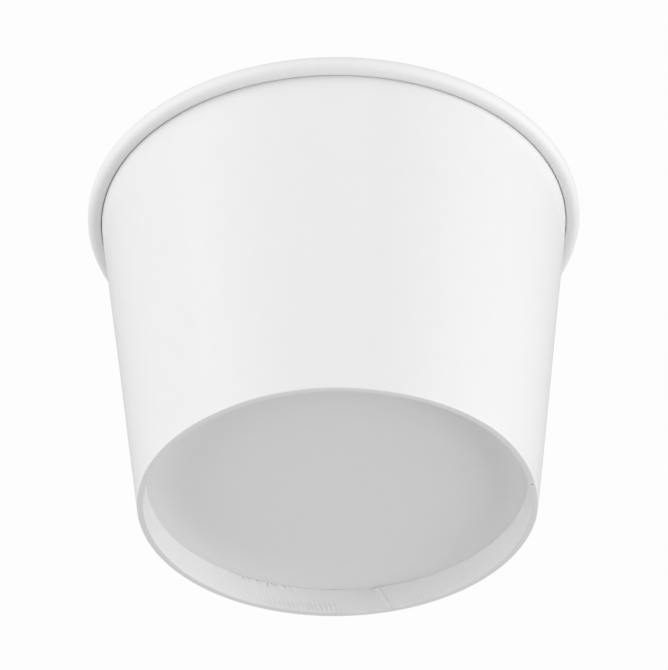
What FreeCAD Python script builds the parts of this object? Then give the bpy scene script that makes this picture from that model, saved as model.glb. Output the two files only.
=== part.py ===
import FreeCAD, Part
import math
import os
import Sketcher

# Paper soup bowl, in millimetres, +Z up, standing on its foot ring at z = 0 with the origin at
# that ring's centre.  It is two pieces of coated paperboard:
#   sidewall  a fan-shaped blank wrapped to a cone, its ends lapped and sealed in a side seam,
#             its top edge rolled outward into the rim and its bottom edge folded in and up;
#   bottom    a disc with a turned-down skirt, gripped in that fold.

NODES = ("sidewall", "bottom")

# Driving dimensions.  Lengths in millimetres, angles in degrees.
SIZES = {
    "rim_diameter": 115.0,       # outside of the rolled rim
    "overall_height": 82.25,     # foot plane to the top of the roll
    "foot_diameter": 88.55,      # outside of the wall, taken down to the foot plane
    "wall_board": 0.45,          # thickness of the sidewall's board
    "bottom_board": 0.35,        # thickness of the bottom's board
    "rim_overhang": 3.35,        # how far the roll stands out from the wall under it
    "rim_depth": 4.0,            # height of the roll
    "rim_side": 0.4,             # height of the roll's upright outer side
    "rim_gap": 0.1,              # free end of the roll to the lapped wall
    "recess": 6.1,               # foot plane to the underside of the bottom
    "bottom_bend": 0.6,          # inside radius where the bottom turns down into its skirt
    "skirt_clear": 0.15,         # skirt's lower edge to the inside of the fold
    "seal_gap": 0.015,           # least sealant between the skirt and the wall round it
    "knurl_room": 0.1,           # what the knurling adds between the skirt and the turned-in wall
    "fold_clear": 0.25,          # cut edge of the turned-in wall to the underside of the bottom
    "fold_crease": 0.05,         # inside radius of the fold's two corners
    "joggle_low": 1.1,           # height where the lapped layer begins to step out
    "joggle_high": 3.1,          # height where it has stepped out by one board
    "seam_azimuth": 70.36,       # where the blank's inner end lies, from +X
    "seam_lap": 9.0,             # width of the lapped seam at the rim
    "seam_ramp": 3.5,            # width over which the outer end climbs on to the inner end
    "corner_slant": 25.4,        # slant of the blank's lower corners, from upright
    "corner_gap": 0.25,          # gap left between those corners in the fold
}

# Values that follow from the driving ones.
DERIVED = {
    "rim_radius": "=rim_diameter / 2",
    "foot_radius": "=foot_diameter / 2",
    "wall_top_radius": "=rim_radius - rim_overhang",
    "roll_bottom": "=overall_height - rim_depth",
    "wall_slope": "=(wall_top_radius - foot_radius) / roll_bottom",
    "wall_tilt": "=atan(wall_slope) / 1deg",
    "wall_reach": "=wall_board / cos(wall_tilt)",
    # The roll's top touches the wall's inner face, the bowl's height and its outer side.  Its free
    # end stops short of the lapped wall, measured from whichever corner of the end comes nearest,
    # or at the roll's innermost point if that doesn't reach so far.
    "crown_room": "=rim_overhang + wall_reach - wall_slope * rim_depth",
    "roll_top_radius": "=crown_room * cos(wall_tilt) / (1 + cos(wall_tilt) - sin(wall_tilt))",
    "roll_under_radius": "=rim_depth - roll_top_radius - rim_side",
    "under_height": "=roll_bottom + roll_under_radius",
    "under_reach": "=rim_radius - roll_under_radius - foot_radius - wall_slope * under_height",
    "end_reach": "=under_reach * cos(wall_tilt) - wall_board - rim_gap",
    "outer_turn": "=end_reach / roll_under_radius",
    "inner_turn": "=end_reach / (roll_under_radius - 2 * wall_board)",
    "end_turn": "=min(outer_turn; inner_turn; 1)",
    "roll_end": "=180 - wall_tilt + acos(end_turn) / 1deg",
    # The ramp is straight across, so it comes inside the round of the wall by its own bulge.
    "ramp_angle": "=seam_ramp / wall_top_radius * 180 / pi",
    "lap_angle": "=seam_lap / wall_top_radius * 180 / pi",
    "seal_space": "=seal_gap + foot_radius * (1 - cos(ramp_angle / 2))",
    "skirt_foot": "=wall_board + skirt_clear",
    "skirt_outside": "=foot_radius + wall_slope * skirt_foot - wall_reach - seal_space",
    "skirt_inside": "=skirt_outside - bottom_board / cos(wall_tilt)",
    # The board doesn't stretch at the fold, so the turned-in wall leans in as far as the wall leans
    # out, and grips the skirt at its foot.
    "fold_height": "=recess - fold_clear",
    "corner_height": "=wall_board + fold_crease",
    "fold_foot_radius": "=skirt_inside - seal_space - knurl_room",
    "fold_top_radius": "=fold_foot_radius - (fold_height - corner_height) * wall_slope",
    "slit_foot": "=2 * wall_board",
    "slit_height": "=fold_height + corner_gap - slit_foot",
    "slit_centre": "=slit_foot + slit_height / 2",
    "slit_lean": "=(fold_height - slit_centre) * wall_slope",
    "slit_radius": "=fold_top_radius + slit_lean - wall_board / 2 / cos(wall_tilt)",
}

START, END = 1, 2                # the ends of a line or an arc, as a constraint names them
GROUND, AXIS = -1, -2            # a sketch's own axes: the foot plane and the bowl's axis
UPRIGHT = 90.0                   # turn about X that stands a sketch up in the XZ plane

doc = FreeCAD.newDocument("paper_soup_bowl")


def make_sheet():
    """The spreadsheet that every piece is bound to."""
    sheet = doc.addObject("Spreadsheet::Sheet", "Sizes")
    for row, (alias, value) in enumerate([*SIZES.items(), *DERIVED.items()], start=1):
        sheet.set(f"A{row}", alias)
        sheet.set(f"B{row}", str(value))
        sheet.setAlias(f"B{row}", alias)
    doc.recompute()
    return sheet


sheet = make_sheet()


class Outline:
    """A sketch in a plane through the bowl's axis: x is the radius and y the height."""

    def __init__(self, name):
        self.sketch = doc.addObject("Sketcher::SketchObject", name)
        self.sketch.Placement = FreeCAD.Placement(FreeCAD.Vector(), FreeCAD.Rotation(0, 0, UPRIGHT))

    def line(self, start, end, construction=False):
        shape = Part.LineSegment(FreeCAD.Vector(*start, 0), FreeCAD.Vector(*end, 0))
        return self.sketch.addGeometry(shape, construction)

    def arc(self, centre, radius, first, last):
        """An arc that runs anticlockwise between two angles in degrees."""
        circle = Part.Circle(FreeCAD.Vector(*centre, 0), FreeCAD.Vector(0, 0, 1), radius)
        return self.sketch.addGeometry(Part.ArcOfCircle(circle, math.radians(first), math.radians(last)))

    def rule(self, kind, *refs):
        self.sketch.addConstraint(Sketcher.Constraint(kind, *refs))

    def size(self, kind, *refs, to):
        """A dimension that follows an expression of the sheet's values."""
        value = float(self.sketch.evalExpression(to))
        if kind == "Angle":
            value = math.radians(value)
        index = self.sketch.addConstraint(Sketcher.Constraint(kind, *refs, value))
        self.sketch.setExpression(f"Constraints[{index}]", to)

    def chain(self, *ends):
        """Joins neighbours end to end and tangent, given as (shape, its end, next shape, its start)."""
        for join in ends:
            self.rule("Tangent", *join)


def turn_to(thing, angle):
    """Turns an upright sketch about the bowl's axis to an azimuth given as an expression."""
    thing.setExpression("Placement.Rotation.Yaw", angle)


def blank_line(name, lapped):
    """The food side of the sidewall's board in section, from its cut edge inside the foot, round the
    fold, up the wall and round the roll to its free end.  Where the blank's outer end laps over its
    inner end, the board above the fold stands one board further out, inside the roll."""
    board = sheet.wall_board
    layer = 1 if lapped else 0
    lift = layer * board
    wall_inside = sheet.foot_radius - sheet.wall_reach

    def wall_at(height, step=0.0):
        return wall_inside + step / board * sheet.wall_reach + sheet.wall_slope * height, height

    crease = sheet.fold_crease
    corner_height = sheet.corner_height
    turned_in_foot = sheet.fold_foot_radius
    rim_side = sheet.rim_radius - lift
    top_radius = sheet.roll_top_radius - lift
    top_centre = (rim_side - top_radius, sheet.under_height + sheet.rim_side)
    under_radius = sheet.roll_under_radius - lift
    under_centre = (rim_side - under_radius, sheet.under_height)

    outline = Outline(name)
    face = outline.line((sheet.foot_radius, 0), (sheet.wall_top_radius, sheet.roll_bottom), True)
    turned_in = outline.line((turned_in_foot, corner_height), (sheet.fold_top_radius, sheet.fold_height))
    inner_corner = outline.arc((turned_in_foot + crease, corner_height), crease, 180, 270)
    floor = outline.line((turned_in_foot + crease, board), (wall_inside - crease, board))
    outer_corner = outline.arc((wall_inside - crease, corner_height), crease, 270, 360)
    low_wall = outline.line(wall_at(corner_height), wall_at(sheet.joggle_low))
    joggle = outline.line(wall_at(sheet.joggle_low), wall_at(sheet.joggle_high, lift))
    wall = outline.line(wall_at(sheet.joggle_high, lift), wall_at(top_centre[1], lift))
    roll_top = outline.arc(top_centre, top_radius, 0, 180 - sheet.wall_tilt)
    outer_side = outline.line((rim_side, top_centre[1]), (rim_side, under_centre[1]))
    roll_under = outline.arc(under_centre, under_radius, sheet.roll_end, 360)

    outline.chain(
        (turned_in, START, inner_corner, START),
        (inner_corner, END, floor, START),
        (floor, END, outer_corner, START),
        (outer_corner, END, low_wall, START),
        (wall, END, roll_top, END),
        (roll_top, START, outer_side, START),
        (outer_side, END, roll_under, END),
    )
    outline.rule("Coincident", low_wall, END, joggle, START)
    outline.rule("Coincident", joggle, END, wall, START)

    # The wall's outer face runs from the foot to the level of the roll's lower side.
    outline.size("DistanceX", face, START, to="Sizes.foot_radius")
    outline.rule("PointOnObject", face, START, GROUND)
    outline.size("DistanceX", face, END, to="Sizes.wall_top_radius")
    outline.size("DistanceY", face, END, to="Sizes.roll_bottom")
    outline.rule("Parallel", low_wall, face)
    outline.size("Distance", low_wall, START, face, to="Sizes.wall_board")
    outline.rule("Parallel", wall, face)
    if lapped:
        outline.rule("PointOnObject", wall, START, face)
    else:
        outline.size("Distance", wall, START, face, to="Sizes.wall_board")
    outline.size("DistanceY", joggle, START, to="Sizes.joggle_low")
    outline.size("DistanceY", joggle, END, to="Sizes.joggle_high")

    # The fold and the turned-in wall.
    outline.rule("Horizontal", floor)
    outline.size("DistanceY", floor, START, to="Sizes.wall_board")
    outline.rule("Equal", inner_corner, outer_corner)
    outline.size("Radius", inner_corner, to="Sizes.fold_crease")
    outline.size("Angle", turned_in, to="90 + Sizes.wall_tilt")
    outline.size("DistanceX", turned_in, END, to="Sizes.fold_top_radius")
    outline.size("DistanceY", turned_in, END, to="Sizes.fold_height")

    # The rolled rim, whose layers are concentric in the seam.
    outline.rule("Vertical", outer_side)
    outline.size("DistanceX", outer_side, START, to=f"Sizes.rim_radius - {layer} * Sizes.wall_board")
    outline.size("Distance", outer_side, to="Sizes.rim_side")
    outline.size("Radius", roll_top, to=f"Sizes.roll_top_radius - {layer} * Sizes.wall_board")
    outline.size("Radius", roll_under, to=f"Sizes.roll_under_radius - {layer} * Sizes.wall_board")
    outline.size("Angle", roll_under, to="360 - Sizes.roll_end")
    return outline.sketch


def bottom_line():
    """The underside of the bottom in section, from the axis out along the disc, round the bend and
    down the inside of the skirt."""
    bend = sheet.bottom_bend
    skirt_top = sheet.recess - bend
    reach = sheet.skirt_inside + (skirt_top - sheet.skirt_foot) * sheet.wall_slope

    outline = Outline("bottom_line")
    disc = outline.line((0, sheet.recess), (reach - bend, sheet.recess))
    turn = outline.arc((reach - bend, skirt_top), bend, 0, 90)
    skirt = outline.line((reach, skirt_top), (sheet.skirt_inside, sheet.skirt_foot))
    outline.chain((disc, END, turn, END), (turn, START, skirt, START))

    outline.rule("Horizontal", disc)
    outline.rule("PointOnObject", disc, START, AXIS)
    outline.size("DistanceY", disc, START, to="Sizes.recess")
    outline.size("Radius", turn, to="Sizes.bottom_bend")
    outline.size("Angle", skirt, to="-90 - Sizes.wall_tilt")
    outline.size("DistanceX", skirt, END, to="Sizes.skirt_inside")
    outline.size("DistanceY", skirt, END, to="Sizes.skirt_foot")
    return outline.sketch


def board_section(line, thickness):
    """The cut face of a board: its line in section, thickened to one side."""
    section = doc.addObject("Part::Offset2D", line.Name + "_section")
    section.Source = line
    section.Mode = "Skin"
    section.Join = "Intersection"
    section.Fill = True
    section.setExpression("Value", thickness)
    return section


def turned(name, section, angle, backward=False):
    """A section turned about the bowl's axis."""
    solid = doc.addObject("Part::Revolution", name)
    solid.Source = section
    solid.Axis = FreeCAD.Vector(0, 0, -1 if backward else 1)
    solid.Solid = True
    solid.setExpression("Angle", angle)
    return solid


def turn_about(axis, angle):
    """A turn about an axis through the origin, as text for an expression."""
    return f"placement(vector(0; 0; 0); rotation(vector({axis}); {angle}))"


def move_by(x, y, z):
    """A move, as text for an expression."""
    return f"placement(vector({x}; {y}; {z}); rotation(vector(0; 0; 1); 0))"


# Sidewall.  One board is turned round almost the whole bowl, backward from the start of the ramp to
# the blank's inner end.  The ramp climbs one board from there, and the outer end laps over the inner.
single_line = blank_line("single_line", lapped=False)
turn_to(single_line, "Sizes.seam_azimuth - Sizes.ramp_angle")
lapped_line = blank_line("lapped_line", lapped=True)
turn_to(lapped_line, "Sizes.seam_azimuth")
single_section = board_section(single_line, "-Sizes.wall_board")
lapped_section = board_section(lapped_line, "-Sizes.wall_board")

wrap = turned("wrap", single_section, "360 - Sizes.ramp_angle", backward=True)
lap = turned("lap", lapped_section, "Sizes.lap_angle")
ramp = doc.addObject("Part::Loft", "ramp")
ramp.Sections = [single_section, lapped_section]
ramp.Solid = True
ramp.Ruled = True

wrapped = doc.addObject("Part::MultiFuse", "wrapped_blank")
wrapped.Shapes = [wrap, ramp, lap]
wrapped.Refine = True

# The blank's lower corners are cut on the slant, so that they meet edge to edge inside the fold.
# The cut leans with the turned-in wall, and starts above the fold's floor.
slit = doc.addObject("Part::Box", "corner_slit")
slit.setExpression("Length", "Sizes.wall_board + 2 * Sizes.seal_space")
slit.setExpression("Width", "Sizes.corner_gap")
slit.setExpression("Height", "Sizes.slit_height / cos(Sizes.corner_slant)")
slit.setExpression("Placement", " * ".join([
    turn_about("0; 0; 1", "Sizes.seam_azimuth + Sizes.lap_angle / 2"),
    move_by("Sizes.slit_radius", "0", "Sizes.slit_centre"),
    turn_about("0; 1; 0", "-Sizes.wall_tilt"),
    turn_about("1; 0; 0", "-Sizes.corner_slant"),
    move_by("-.Length / 2", "-.Width / 2", "-.Height / 2"),
]))

sidewall = doc.addObject("Part::Cut", "sidewall")
sidewall.Base = wrapped
sidewall.Tool = slit
sidewall.Label = "sidewall"

# Bottom.
bottom = turned("bottom", board_section(bottom_line(), "Sizes.bottom_board"), "360")
bottom.Label = "bottom"

doc.recompute()

for thing in doc.Objects:
    if "Invalid" in thing.State or "Error" in thing.State:
        raise RuntimeError(f"{thing.Label} did not build: {thing.State}")

os.makedirs("parts", exist_ok=True)
for node in NODES:
    shape = doc.getObjectsByLabel(node)[0].Shape
    if shape.isNull() or not shape.isValid() or len(shape.Solids) != 1:
        raise RuntimeError(f"{node} is not one valid solid")
    shape.exportStep(f"parts/{node}.step")
    print(f"{node}: {shape.Volume:.1f} cubic mm, {len(shape.Faces)} faces")
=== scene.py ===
import math

import bmesh
import bpy
from mathutils import Matrix, Vector


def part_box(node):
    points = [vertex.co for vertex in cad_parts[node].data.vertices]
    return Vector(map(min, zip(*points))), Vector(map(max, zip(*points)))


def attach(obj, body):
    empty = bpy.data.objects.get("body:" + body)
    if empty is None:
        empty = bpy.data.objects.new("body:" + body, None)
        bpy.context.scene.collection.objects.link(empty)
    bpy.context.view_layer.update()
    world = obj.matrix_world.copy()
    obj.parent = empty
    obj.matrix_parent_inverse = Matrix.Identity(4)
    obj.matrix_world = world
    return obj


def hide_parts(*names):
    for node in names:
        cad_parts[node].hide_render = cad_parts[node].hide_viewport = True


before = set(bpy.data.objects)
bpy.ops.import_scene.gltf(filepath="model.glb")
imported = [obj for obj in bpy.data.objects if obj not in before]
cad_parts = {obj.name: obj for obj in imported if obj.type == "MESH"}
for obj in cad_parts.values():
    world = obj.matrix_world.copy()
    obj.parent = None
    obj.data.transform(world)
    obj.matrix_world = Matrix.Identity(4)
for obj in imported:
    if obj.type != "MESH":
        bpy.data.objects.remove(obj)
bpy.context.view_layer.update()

# ---------------------------------------------------------------------------------------------
# Sidewall.  One fan-shaped blank of coated board, wrapped to a cone and sealed in a lapped seam
# at the back.  Its top edge is rolled outward into the rim, and its bottom edge is folded in and
# up to grip the bottom, where a knurled wheel has pressed it home.
# ---------------------------------------------------------------------------------------------

# The section of the wall and the rim.  Sizes are in metres.
wall_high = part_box("sidewall")[1]
rim_radius = wall_high[0]
rim_height = wall_high[2]
wall_board = 0.00045
foot_radius = 0.044275
rim_overhang = 0.00335
rim_depth = 0.004
rim_side = 0.0004
rim_gap = 0.00015

# The fold, and how far the press has left it from round and true.
fold_height = 0.00615
turned_in_radius = 0.0432
turned_in_top_radius = 0.04265
fold_outer_round = 0.00022
fold_inner_round = 0.0002
fold_off_centre = 0.00015
fold_skew = 0.0005
near_bulge = (math.radians(257), 0.0003)
side_flat = (math.radians(344), -0.0003)
pressed_columns = 4
press_reach = 0.016

# The blank's ends: lapped up the wall, and cut on the slant below the fold.
columns = 242
column_angle = math.tau / columns
back = math.pi / 2
seam_azimuth = back - 13 * column_angle
seam_lap = 0.009
ramp_columns = 3
joggle_low = 0.0011
joggle_high = 0.0031
corner_azimuth = back - 11 * column_angle
corner_slant = math.radians(25.4)
corner_gap = 0.00003
corner_lap = 0.0003
corner_lift = 0.0005
lip_columns = 0.6
lip_full_climb = 1 / 3
corner_sag = 0.0008
sag_middle = 2
sag_end = 9

# Marks on the turned-in wall: the wheel's knurling, as places, spreads and strengths, and a cut
# edge that wavers, is fuzzy in one stretch and short in another.
knurl_depth = 0.00026
knurl_everywhere = 0.15
knurl_presses = (
    (math.radians(105), math.radians(10), 0.4),
    (math.radians(94.5), math.radians(5.5), 0.7),
    (math.radians(64), math.radians(4), 0.35),
)
knurl_fade_low = 0.0018
knurl_fade_high = 0.0036
fuzzy_place = math.radians(115)
fuzzy_spread = math.radians(10)
fray_depth = 0.00052
fray_reach = 0.0014
fray_grain = 0.0006
cut_waver = 0.0001
cut_grain = 0.0008
cut_waver_everywhere = 0.3
short_place = math.radians(80)
short_spread = math.radians(18)
short_by = 0.00007
wall_spring = 0.0002
wall_spring_grain = 0.03

# How finely the sheet is divided, and how near a point counts as on a line or a column of it.
wall_rows = 12
joggle_rows = 4
roll_top_steps = 18
roll_under_steps = 14
turned_in_rows = 12
lap_steps = 8
knurl_cuts = 3
fold_round_steps = 4
crease_angle = math.radians(32)
hair = wall_board / 20
on_line = 1 / 9

roll_bottom = rim_height - rim_depth
wall_top_radius = rim_radius - rim_overhang
wall_slope = (wall_top_radius - foot_radius) / roll_bottom
wall_tilt = math.atan(wall_slope)
wall_inside = foot_radius - wall_board / math.cos(wall_tilt)
crown_room = rim_radius - wall_inside - wall_slope * rim_height
roll_top_radius = crown_room / (1 / math.cos(wall_tilt) + 1 - math.tan(wall_tilt))
roll_under_radius = rim_depth - roll_top_radius - rim_side
under_height = roll_bottom + roll_under_radius
under_reach = rim_radius - roll_under_radius - foot_radius - wall_slope * under_height
end_turn = (under_reach * math.cos(wall_tilt) - rim_gap) / roll_under_radius
roll_end = math.pi - wall_tilt + math.acos(end_turn)
crown_height = rim_height - roll_top_radius * (1 - math.sin(wall_tilt))


def wall_at(height):
    """The wall's inner face, as radius and height."""
    return wall_inside + wall_slope * height, height


def arc(centre, radius, start, end, steps):
    """Rings along an arc of the section, without its first point."""
    for step in range(1, steps + 1):
        angle = start + (end - start) * step / steps
        yield centre[0] + radius * math.cos(angle), centre[1] + radius * math.sin(angle)


def straight(start, end, steps):
    """Rings along a straight stretch of the section, without its first point."""
    for step in range(1, steps + 1):
        share = step / steps
        yield start[0] + (end[0] - start[0]) * share, start[1] + (end[1] - start[1]) * share


def pick(kind, test):
    """Selects the vertices or edges of the mesh in hand that pass a test, and only those."""
    bpy.ops.mesh.select_mode(type={"verts": "VERT", "edges": "EDGE"}[kind])
    bpy.ops.mesh.select_all(action="DESELECT")
    mesh = bmesh.from_edit_mesh(bpy.context.object.data)
    for item in getattr(mesh, kind):
        if test(item):
            item.select_set(True)
    mesh.select_flush_mode()
    bmesh.update_edit_mesh(bpy.context.object.data)


def turn(angle):
    """Turns what is selected about the bowl's axis."""
    bpy.ops.transform.rotate(value=-angle, orient_axis="Z", center_override=(0, 0, 0))


def carry_edge(start, rings, slant=0.0):
    """Extrudes the selected edge loop from ring to ring round the bowl's axis."""
    radius, height = start
    for next_radius, next_height in rings:
        bpy.ops.mesh.extrude_region_move(TRANSFORM_OT_translate={"value": (0, 0, next_height - height)})
        grow = next_radius / radius
        bpy.ops.transform.resize(value=(grow, grow, 1), center_override=(0, 0, 0))
        if slant:
            rise, next_rise = height - start[1], next_height - start[1]
            turn(math.tan(slant) * (next_rise / next_radius - rise / radius))
        radius, height = next_radius, next_height


def azimuth(point):
    """The direction of a point from the bowl's axis, counted from +X towards +Y."""
    return math.atan2(point.y, point.x) % math.tau


def smoothstep(share):
    """Eases a share between 0 and 1 in and out."""
    return share * share * (3 - 2 * share)


bpy.ops.object.select_all(action="DESELECT")
bpy.ops.mesh.primitive_cone_add(
    vertices=columns,
    radius1=wall_at(joggle_high)[0],
    radius2=wall_at(crown_height)[0],
    depth=crown_height - joggle_high,
    end_fill_type="NOTHING",
    location=(0, 0, (crown_height + joggle_high) / 2),
)
sidewall = bpy.context.object
sidewall.name = "sidewall_board"
bpy.ops.object.transform_apply(location=True)
bpy.ops.object.mode_set(mode="EDIT")
pick("edges", lambda edge: abs(edge.verts[0].co.z - edge.verts[1].co.z) > hair)
bpy.ops.mesh.subdivide(number_cuts=wall_rows - 1)

# The rim: up over the crown, down the outer side and in under it to the free end.
crown_centre = (rim_radius - roll_top_radius, rim_height - roll_top_radius)
under_centre = (rim_radius - roll_under_radius, under_height)
pick("edges", lambda edge: all(vert.co.z > crown_height - hair for vert in edge.verts))
carry_edge(wall_at(crown_height), [
    *arc(crown_centre, roll_top_radius, math.pi - wall_tilt, 0, roll_top_steps),
    (rim_radius, under_height),
    *arc(under_centre, roll_under_radius, math.tau, roll_end, roll_under_steps),
])

# The fold: down the wall's foot, in across the floor and up inside the skirt to the cut edge.
turned_in_foot = (turned_in_radius, wall_board)
pick("edges", lambda edge: all(vert.co.z < joggle_high + hair for vert in edge.verts))
carry_edge(wall_at(joggle_high), [
    *straight(wall_at(joggle_high), wall_at(joggle_low), joggle_rows),
    wall_at(wall_board),
    turned_in_foot,
])
turned_in_rings = straight(turned_in_foot, (turned_in_top_radius, fold_height), turned_in_rows)
carry_edge(turned_in_foot, turned_in_rings, slant=corner_slant)


def turned_in(point):
    """True on the turned-in wall, from its inner corner up."""
    return point.xy.length < turned_in_radius + hair and point.z > wall_board - hair


def on_column(point, angle):
    """True on the column that stands in this direction."""
    return abs(azimuth(point) - angle) * point.xy.length < hair


def above_fold(point):
    """True on the wall and the rim, down to the foot of the seam's joggle."""
    return point.z > joggle_low - hair and not turned_in(point)


def on_seam(edge):
    """True where the blank's two ends meet before they are lapped."""
    return all(on_column(vert.co, seam_azimuth) and above_fold(vert.co) for vert in edge.verts)


def on_outer_end(item):
    """True on the end of the blank that laps over the other."""
    return all(azimuth(face.calc_center_median()) < seam_azimuth for face in item.link_faces)


# The side seam: the outer end climbs one board over a few columns and laps over the inner end.
pick("edges", on_seam)
bpy.ops.mesh.edge_split(type="EDGE")
for column in range(ramp_columns):
    climb = smoothstep(1 - column / ramp_columns)
    angle = seam_azimuth - column * column_angle
    for row in range(1, joggle_rows + 1):
        height = joggle_low + (joggle_high - joggle_low) * row / joggle_rows
        top = height + hair if row < joggle_rows else math.inf
        pick("verts", lambda vert: on_column(vert.co, angle) and height - hair < vert.co.z < top
             and above_fold(vert.co) and on_outer_end(vert))
        bpy.ops.transform.shrink_fatten(value=wall_board * climb * row / joggle_rows)
pick("edges", lambda edge: edge.is_boundary and on_outer_end(edge)
     and all(abs(azimuth(vert.co) - seam_azimuth) < on_line * column_angle and above_fold(vert.co)
             for vert in edge.verts))
lap_angle = seam_lap / wall_top_radius
for step in range(lap_steps):
    bpy.ops.mesh.extrude_region_move()
    turn(lap_angle / lap_steps)


def slant_place(point):
    """How many columns a point lies from the blank's corners, along the slant of the knurling."""
    rise = (point.z - wall_board) * math.tan(corner_slant) / point.xy.length
    return (azimuth(point) - rise - corner_azimuth) / column_angle


def on_corner(edge):
    """True on the slanting edges of the blank's corners, in the turned-in wall."""
    return all(turned_in(vert.co) and abs(slant_place(vert.co)) < on_line for vert in edge.verts)


# The blank's lower corners are cut on the slant, and are parted there before they are lapped.
pick("edges", on_corner)
bpy.ops.mesh.edge_split(type="EDGE")
for side in (-1, 1):
    pick("edges", lambda edge: edge.is_boundary and on_corner(edge)
         and side * slant_place(edge.link_faces[0].calc_center_median()) > 0)
    turn(side * corner_gap / 2 / turned_in_radius)

# The knurling's ridges stand on the blank's columns, and the hollows on new ones between them.
pick("edges", lambda edge: abs(edge.verts[0].co.z - edge.verts[1].co.z) < hair
     and all(turned_in(vert.co) for vert in edge.verts))
bpy.ops.mesh.subdivide(number_cuts=knurl_cuts)
bpy.ops.object.mode_set(mode="OBJECT")

# How strongly each mark of the folding and the lapping takes hold at each point of the sheet.
roll_edge_start = 1.5 * math.pi
lap_middle = seam_azimuth + lap_angle / 2
ridges = sidewall.vertex_groups.new(name="knurl_ridges")
raw_edge = sidewall.vertex_groups.new(name="raw_edge")
frayed_edge = sidewall.vertex_groups.new(name="frayed_edge")
short_edge = sidewall.vertex_groups.new(name="short_edge")
open_wall = sidewall.vertex_groups.new(name="open_wall")
over_lap = sidewall.vertex_groups.new(name="over_lap")
lifted_corner = sidewall.vertex_groups.new(name="lifted_corner")
sagging_corner = sidewall.vertex_groups.new(name="sagging_corner")


def around(point, middle, spread):
    """A share that is 1 in one direction and dies away to both sides of it."""
    return math.exp(-((azimuth(point) - middle) / spread) ** 2)


def mark_turned_in(vert):
    """Weights a point of the turned-in wall: its knurling, its corner and its cut edge."""
    place = slant_place(vert.co)
    if vert.co.z > wall_board + hair and abs(place - round(place)) < on_line:
        fade = (knurl_fade_high - vert.co.z) / (knurl_fade_high - knurl_fade_low)
        press = knurl_everywhere
        for middle, spread, extra in knurl_presses:
            press += extra * around(vert.co, middle, spread)
        ridges.add([vert.index], press * min(1.0, max(0.0, fade)), "REPLACE")
    climb = (vert.co.z - wall_board) / (fold_height - wall_board)
    if 0 < place < lip_columns:
        lift = min(1.0, climb / lip_full_climb) * (1 - place / lip_columns)
        lifted_corner.add([vert.index], lift, "REPLACE")
    if 0 < place < sag_end:
        sag = min(place / sag_middle, (sag_end - place) / (sag_end - sag_middle))
        sagging_corner.add([vert.index], climb * smoothstep(sag), "REPLACE")
    fuzz = around(vert.co, fuzzy_place, fuzzy_spread)
    if vert.co.z > fold_height - hair:
        raw_edge.add([vert.index], cut_waver_everywhere + (1 - cut_waver_everywhere) * fuzz, "REPLACE")
        short_edge.add([vert.index], around(vert.co, short_place, short_spread), "REPLACE")
    if vert.co.z > fold_height - fray_depth:
        frayed_edge.add([vert.index], fuzz, "REPLACE")


def mark_roll_end(vert):
    """Weights the roll's free end where it lies over the lap."""
    curl = Vector((vert.co.xy.length, vert.co.z)) - Vector(under_centre)
    along_roll = math.atan2(curl.y, curl.x) % math.tau
    if curl.length < roll_under_radius + hair and roll_end - hair < along_roll < roll_edge_start:
        beside = abs(azimuth(vert.co) - lap_middle) - lap_angle / 2
        near = smoothstep(min(1.0, max(0.0, 1 - beside / (ramp_columns * column_angle))))
        curled = (roll_edge_start - along_roll) / (roll_edge_start - roll_end)
        over_lap.add([vert.index], near * curled, "REPLACE")


for vert in sidewall.data.vertices:
    if turned_in(vert.co):
        mark_turned_in(vert)
    elif joggle_high < vert.co.z < crown_height - hair:
        share = (vert.co.z - joggle_high) / (crown_height - joggle_high)
        open_wall.add([vert.index], 4 * share * (1 - share), "REPLACE")
    mark_roll_end(vert)


def displace(piece, name, strength, group, direction="NORMAL", grain=None):
    """Moves a vertex group along a direction, evenly or by a cloud texture of a given grain."""
    modifier = piece.modifiers.new(name, "DISPLACE")
    modifier.strength = strength
    modifier.mid_level = 0.0
    modifier.vertex_group = group
    modifier.direction = direction
    if grain:
        modifier.texture = bpy.data.textures.new(name, "CLOUDS")
        modifier.texture.noise_scale = grain
        modifier.texture_coords = "LOCAL"
        modifier.mid_level = 0.5
    bpy.ops.object.modifier_apply(modifier=name)


displace(sidewall, "lifted_corner", corner_lift, "lifted_corner")
displace(sidewall, "sagging_corner", -corner_sag, "sagging_corner")
displace(sidewall, "knurling", knurl_depth, "knurl_ridges")
displace(sidewall, "uneven_cut", cut_waver, "raw_edge", direction="Z", grain=cut_grain)
displace(sidewall, "short_cut", -short_by, "short_edge", direction="Z")
displace(sidewall, "fray", fray_reach, "frayed_edge", grain=fray_grain)
displace(sidewall, "springy_wall", wall_spring, "open_wall", grain=wall_spring_grain)
displace(sidewall, "roll_over_lap", wall_board, "over_lap")

# The corner that lies lower is tucked a little way under the other's lifted lip.
bpy.ops.object.mode_set(mode="EDIT")
pick("edges", lambda edge: edge.is_boundary and slant_place(edge.link_faces[0].calc_center_median()) < 0
     and all(vert.co.z > wall_board + hair and turned_in(vert.co)
             and abs(slant_place(vert.co)) < on_line for vert in edge.verts))
turn(corner_lap / turned_in_radius)
bpy.ops.object.mode_set(mode="OBJECT")


def press_foot(middle, amount):
    """Pushes the foot out of round at one place, and what lies near with it."""
    way = Vector((math.cos(middle), math.sin(middle), 0))
    pick("verts", lambda vert: vert.co.z < joggle_low and vert.co.xy.length > turned_in_radius
         and vert.co.xy.angle(way.xy) < pressed_columns * column_angle)
    bpy.ops.transform.translate(
        value=amount * way,
        use_proportional_edit=True,
        proportional_edit_falloff="SMOOTH",
        proportional_size=press_reach,
    )


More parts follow.
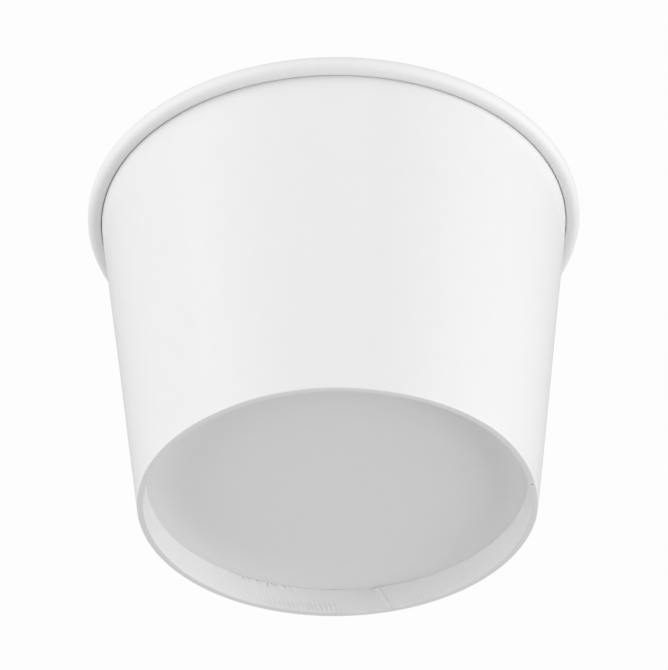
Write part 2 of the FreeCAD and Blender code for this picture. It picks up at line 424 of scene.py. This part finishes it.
def thicken(piece, board):
    """Gives a sheet its board on its normals' side: slot 0 outside, 1 behind, 2 on the cut edges."""
    solidify = piece.modifiers.new("board", "SOLIDIFY")
    solidify.thickness = board
    solidify.offset = 1
    solidify.use_even_offset = True
    solidify.use_quality_normals = True
    solidify.material_offset = 1
    solidify.material_offset_rim = 2
    bpy.ops.object.modifier_apply(modifier="board")


white = (0.86, 0.86, 0.86)
pulp = (0.80, 0.79, 0.76)
clouds_across = 260.0
fibres_across = 1500.0
fibre_lie = (1.0, 1.0, 3.2)
tone_change = 0.025
satin_change = 0.05
film_relief = 0.00001
cut_relief = 0.00004


def paper(name, colour, roughness, relief_depth, film=0.0, film_roughness=0.12):
    """White board: cloudy formation, fine fibres that lie round the bowl, and a satin face."""
    material = bpy.data.materials.new(name)
    material.use_nodes = True
    nodes, links = material.node_tree.nodes, material.node_tree.links
    shader = nodes["Principled BSDF"]
    shader.inputs["IOR"].default_value = 1.45
    shader.inputs["Coat Weight"].default_value = film
    shader.inputs["Coat Roughness"].default_value = film_roughness

    place = nodes.new("ShaderNodeTexCoord")
    lay = nodes.new("ShaderNodeMapping")
    lay.inputs["Scale"].default_value = fibre_lie
    links.new(place.outputs["Object"], lay.inputs["Vector"])

    formation = nodes.new("ShaderNodeTexNoise")
    formation.inputs["Scale"].default_value = clouds_across
    formation.inputs["Detail"].default_value = 4.0
    links.new(place.outputs["Object"], formation.inputs["Vector"])
    fibres = nodes.new("ShaderNodeTexNoise")
    fibres.inputs["Scale"].default_value = fibres_across
    fibres.inputs["Detail"].default_value = 3.0
    fibres.inputs["Roughness"].default_value = 0.65
    links.new(lay.outputs["Vector"], fibres.inputs["Vector"])

    # Half clouds and half fibres.
    half = nodes.new("ShaderNodeMath")
    half.operation = "MULTIPLY"
    half.inputs[1].default_value = 0.5
    links.new(fibres.outputs["Fac"], half.inputs[0])
    grain = nodes.new("ShaderNodeMath")
    grain.operation = "MULTIPLY_ADD"
    grain.inputs[1].default_value = 0.5
    links.new(formation.outputs["Fac"], grain.inputs[0])
    links.new(half.outputs["Value"], grain.inputs[2])

    tone = nodes.new("ShaderNodeMix")
    tone.data_type = "RGBA"
    tone.inputs["A"].default_value = (*((1 - tone_change) * part for part in colour), 1.0)
    tone.inputs["B"].default_value = (*((1 + tone_change) * part for part in colour), 1.0)
    links.new(grain.outputs["Value"], tone.inputs["Factor"])
    links.new(tone.outputs["Result"], shader.inputs["Base Color"])

    satin = nodes.new("ShaderNodeMapRange")
    satin.inputs["To Min"].default_value = roughness - satin_change
    satin.inputs["To Max"].default_value = roughness + satin_change
    links.new(formation.outputs["Fac"], satin.inputs["Value"])
    links.new(satin.outputs["Result"], shader.inputs["Roughness"])

    relief = nodes.new("ShaderNodeBump")
    relief.inputs["Strength"].default_value = 0.35
    relief.inputs["Distance"].default_value = relief_depth
    links.new(grain.outputs["Value"], relief.inputs["Height"])
    links.new(relief.outputs["Normal"], shader.inputs["Normal"])
    return material


board_layers = (
    paper("print_side_film", white, 0.38, film_relief, film=0.3),
    paper("food_side_film", white, 0.6, film_relief, film=1.0, film_roughness=0.6),
    paper("cut_board_edge", pulp, 0.8, cut_relief),
)
for layer in board_layers:
    sidewall.data.materials.append(layer)
thicken(sidewall, wall_board)

# A fleck of dirt sits on the edge that the bowl stands on.
fleck_azimuth = math.radians(-10.5)
fleck_reach = 0.0432
fleck_radius = 0.00026
dirt = (0.30, 0.28, 0.26, 1.0)
film = sidewall.data.materials["print_side_film"].node_tree
clean = film.nodes["Mix"]
shader = film.nodes["Principled BSDF"]
away = film.nodes.new("ShaderNodeVectorMath")
away.operation = "DISTANCE"
away.inputs[1].default_value = (
    fleck_reach * math.cos(fleck_azimuth), fleck_reach * math.sin(fleck_azimuth), 0.0
)
film.links.new(film.nodes["Texture Coordinate"].outputs["Object"], away.inputs[0])
cover = film.nodes.new("ShaderNodeMapRange")
cover.inputs["From Min"].default_value = fleck_radius
cover.inputs["From Max"].default_value = fleck_radius / 2
film.links.new(away.outputs["Value"], cover.inputs["Value"])
fleck = film.nodes.new("ShaderNodeMix")
fleck.data_type = "RGBA"
fleck.inputs["B"].default_value = dirt
film.links.new(cover.outputs["Result"], fleck.inputs["Factor"])
film.links.new(clean.outputs["Result"], fleck.inputs["A"])
film.links.new(fleck.outputs["Result"], shader.inputs["Base Color"])

# The fold's two lower corners keep a small round, and the turned-in wall is a little off centre.
bpy.ops.object.mode_set(mode="EDIT")
fold_corners = (
    (foot_radius, fold_outer_round),
    (turned_in_radius - wall_board, fold_inner_round),
)
for radius, rounding in fold_corners:
    pick("edges", lambda edge: all(vert.co.z < hair and abs(vert.co.xy.length - radius) < wall_board / 3
         for vert in edge.verts))
    bpy.ops.mesh.bevel(offset=rounding, segments=fold_round_steps)
pick("verts", lambda vert: turned_in(vert.co))
bpy.ops.transform.translate(value=(0, fold_off_centre, 0))
bpy.ops.transform.rotate(value=fold_skew, orient_axis="Y", center_override=(0, 0, 0))
press_foot(*near_bulge)
press_foot(*side_flat)
bpy.ops.object.mode_set(mode="OBJECT")
bpy.ops.object.shade_smooth_by_angle(angle=crease_angle)
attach(sidewall, "root")
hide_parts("sidewall")

# ---------------------------------------------------------------------------------------------
# Bottom.  A disc of thinner white board, its edge turned down into a skirt that stands in the
# sidewall's fold and is sealed there.  The disc sits up inside the foot, domed and a little slack,
# so the bowl stands on the fold alone.
# ---------------------------------------------------------------------------------------------
bottom_low, bottom_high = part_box("bottom")
bottom_board = 0.00035
bottom_bend = 0.0006
skirt_inside = 0.04351
disc_rise = 0.00078
dome_radius = 0.0422
dome_flatness = 14
disc_slack = 0.0002
disc_slack_grain = 0.02
disc_rings = 28
bend_steps = 8
skirt_rows = 6

under_side = bottom_high[2] - bottom_board
skirt_foot = bottom_low[2]
skirt_top = under_side - bottom_bend
skirt_reach = skirt_inside + (skirt_top - skirt_foot) * wall_slope
disc_radius = skirt_reach - bottom_bend

bpy.ops.object.select_all(action="DESELECT")
bpy.ops.mesh.primitive_circle_add(
    vertices=columns, radius=disc_radius, fill_type="NGON", location=(0, 0, under_side)
)
bottom = bpy.context.object
bottom.name = "bottom_board"
bpy.ops.object.transform_apply(location=True)
bpy.ops.object.mode_set(mode="EDIT")
for ring in range(disc_rings):
    bpy.ops.mesh.inset(thickness=disc_radius / (disc_rings + 1))
pick("edges", lambda edge: edge.is_boundary)
carry_edge((disc_radius, under_side), [
    *arc((disc_radius, skirt_top), bottom_bend, math.pi / 2, 0, bend_steps),
    *straight((skirt_reach, skirt_top), (skirt_inside, skirt_foot), skirt_rows),
])
bpy.ops.object.mode_set(mode="OBJECT")
flat = bottom.vertex_groups.new(name="disc")
for vert in bottom.data.vertices:
    share = min(1.0, vert.co.xy.length / dome_radius)
    flat.add([vert.index], 1 - share ** dome_flatness, "REPLACE")
displace(bottom, "domed_disc", disc_rise, "disc", direction="Z")
displace(bottom, "slack_disc", disc_slack, "disc", direction="Z", grain=disc_slack_grain)

# The disc faces up, so the food side's film is its outer layer.
print_side, food_side, cut_edge = board_layers
for layer in (food_side, print_side, cut_edge):
    bottom.data.materials.append(layer)
thicken(bottom, bottom_board)
bpy.ops.object.mode_set(mode="EDIT")
press_foot(*near_bulge)
press_foot(*side_flat)
bpy.ops.object.mode_set(mode="OBJECT")
bpy.ops.object.shade_smooth_by_angle(angle=crease_angle)
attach(bottom, "root")
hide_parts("bottom")

# ---------------------------------------------------------------------------------------------
# Floor.  A plain pale sheet that the bowl stands on.  It takes the bowl's shadow but sends no light
# back to it, and it is clear from below, so that a view from there shows the bowl's underside.
# ---------------------------------------------------------------------------------------------
floor_size = 6.0
floor_white = (0.88, 0.88, 0.88, 1.0)

bpy.ops.object.select_all(action="DESELECT")
bpy.ops.mesh.primitive_plane_add(size=floor_size)
floor = bpy.context.object
floor.name = "floor"
floor.visible_diffuse = False
floor.visible_glossy = False
floor.visible_transmission = False
floor.visible_shadow = False
pale = bpy.data.materials.new("pale_floor")
pale.use_nodes = True
nodes, links = pale.node_tree.nodes, pale.node_tree.links
nodes["Principled BSDF"].inputs["Base Color"].default_value = floor_white
nodes["Principled BSDF"].inputs["Roughness"].default_value = 0.9
side = nodes.new("ShaderNodeNewGeometry")
clear = nodes.new("ShaderNodeBsdfTransparent")
one_way = nodes.new("ShaderNodeMixShader")
links.new(side.outputs["Backfacing"], one_way.inputs["Fac"])
links.new(nodes["Principled BSDF"].outputs["BSDF"], one_way.inputs[1])
links.new(clear.outputs["BSDF"], one_way.inputs[2])
links.new(one_way.outputs["Shader"], nodes["Material Output"].inputs["Surface"])
floor.data.materials.append(pale)

# ---------------------------------------------------------------------------------------------
# Light and camera.  A plain white room lights the bowl evenly from all round, and three large
# softboxes shape it: one low on each side, and a weak one high in front.  The camera looks up at
# the underside with a long lens, and it alone sees the white backdrop.
# ---------------------------------------------------------------------------------------------
room_light = 0.478
backdrop_white = 0.98
bowl_middle = Vector((0.0, 0.0, 0.0476))
lamp_distance = 1.2
view_distance = 0.7968
view_elevation = math.radians(-37.26)
view_roll = math.radians(-0.84)

world = bpy.data.worlds.new("studio")
bpy.context.scene.world = world
world.use_nodes = True
nodes, links = world.node_tree.nodes, world.node_tree.links
room = nodes["Background"]
room.inputs["Color"].default_value = (1.0, 1.0, 1.0, 1.0)
room.inputs["Strength"].default_value = room_light
backdrop = nodes.new("ShaderNodeBackground")
backdrop.inputs["Color"].default_value = (backdrop_white, backdrop_white, backdrop_white, 1.0)
ray = nodes.new("ShaderNodeLightPath")
choose = nodes.new("ShaderNodeMixShader")
links.new(ray.outputs["Is Camera Ray"], choose.inputs["Fac"])
links.new(room.outputs["Background"], choose.inputs[1])
links.new(backdrop.outputs["Background"], choose.inputs[2])
links.new(choose.outputs["Shader"], nodes["World Output"].inputs["Surface"])


def softbox(name, turned, raised, width, tall, glow):
    """A rectangular lamp that faces the bowl from a direction, given in degrees round and up."""
    round_bowl = Matrix.Rotation(math.radians(turned), 3, "Z")
    up = Matrix.Rotation(math.radians(-raised), 3, "Y")
    side = round_bowl @ up @ Vector((1.0, 0.0, 0.0))
    bpy.ops.object.light_add(type="AREA", location=bowl_middle + lamp_distance * side)
    lamp = bpy.context.object
    lamp.name = name
    lamp.data.shape = "RECTANGLE"
    lamp.data.size = width
    lamp.data.size_y = tall
    lamp.data.energy = glow * math.pi * width * tall
    lamp.rotation_euler = (-side).to_track_quat("-Z", "Y").to_euler()


softbox("right_softbox", turned=341, raised=-14, width=1.54, tall=1.22, glow=2.0)
softbox("left_softbox", turned=192, raised=-10, width=1.46, tall=0.98, glow=1.79)
softbox("front_softbox", turned=241, raised=32, width=2.09, tall=1.25, glow=0.69)

along = Vector((0.0, -math.cos(view_elevation), math.sin(view_elevation)))
bpy.ops.object.camera_add(location=bowl_middle + view_distance * along)
camera = bpy.context.object
look = (-along).to_track_quat("-Z", "Y").to_matrix()
camera.rotation_euler = (look @ Matrix.Rotation(view_roll, 3, "Z")).to_euler()
camera.data.lens = 187.3
camera.data.sensor_width = 36.0
camera.data.shift_x = -0.002104
camera.data.shift_y = 0.000985
camera.data.clip_end = 20.0
bpy.context.scene.camera = camera
bpy.context.scene.view_settings.view_transform = "Standard"
